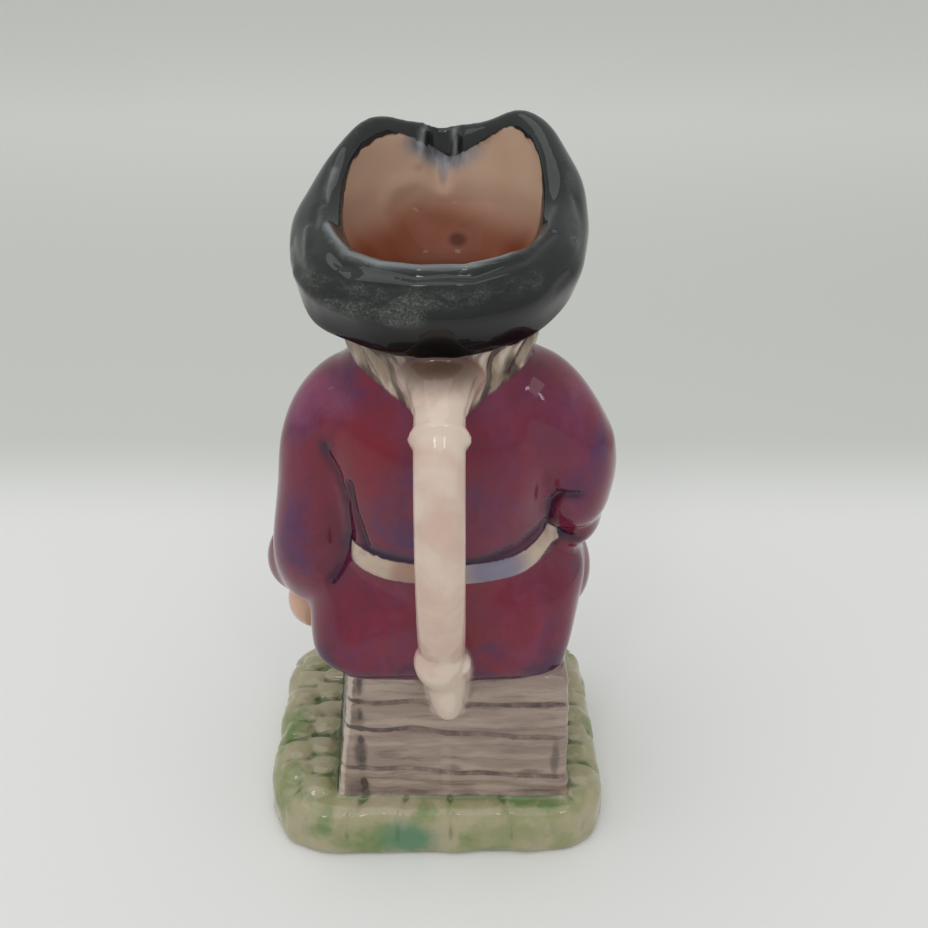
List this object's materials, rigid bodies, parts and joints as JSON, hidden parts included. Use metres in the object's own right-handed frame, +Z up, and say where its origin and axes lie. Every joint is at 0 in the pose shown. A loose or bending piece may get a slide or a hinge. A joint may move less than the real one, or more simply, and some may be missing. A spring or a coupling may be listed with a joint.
{
  "type": "toby jug",
  "caption": "Glazed earthenware jug shaped as a seated figure in a belted coat, with a turned-up hat as its mouth and a loop handle behind",
  "frame": {"origin": "middle of the flat underside of the ground slab", "axes": "+Z up out of the mouth, the figure looks along -Y, the loop handle is on the +Y side, +X is the figure's left hand"},
  "size_m": [0.0996, 0.0933, 0.1947],
  "materials": {
    "glazed_earthenware": "clear glossy glaze over hand painting"
  },
  "bodies": {
    "root": {"toby_jug": "glazed_earthenware"}
  },
  "joints": []
}
